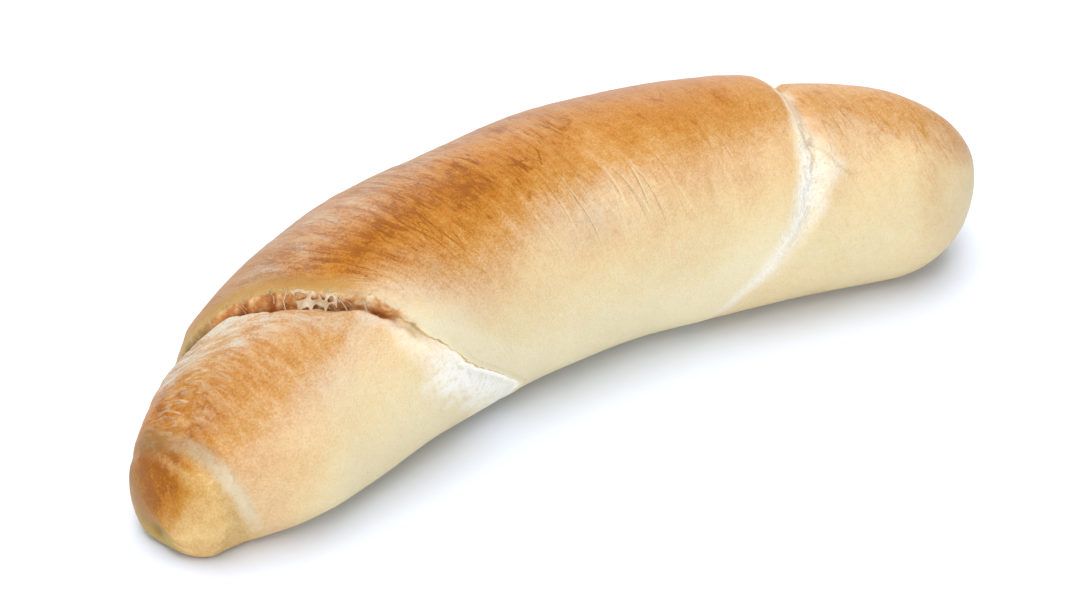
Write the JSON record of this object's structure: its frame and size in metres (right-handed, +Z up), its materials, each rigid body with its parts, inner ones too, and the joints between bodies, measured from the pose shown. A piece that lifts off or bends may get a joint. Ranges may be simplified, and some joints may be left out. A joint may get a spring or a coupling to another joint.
{
  "type": "finger roll",
  "caption": "Wound finger roll of white bread, bent like a bow, with a slim nose and a blunt end, lying on its flat foot.",
  "frame": {"origin": "centre of the bounding box at the height of the flat foot that the roll lies on", "axes": "+X along the chord of the bow towards the blunt end, +Y towards the outer, bulging side of the bow, +Z up"},
  "size_m": [0.1922, 0.063, 0.0444],
  "materials": {
    "crust": "golden baked crust, satin on top, pale and floury along the edges of the wraps"
  },
  "bodies": {
    "root": {"roll": "crust"}
  },
  "joints": []
}
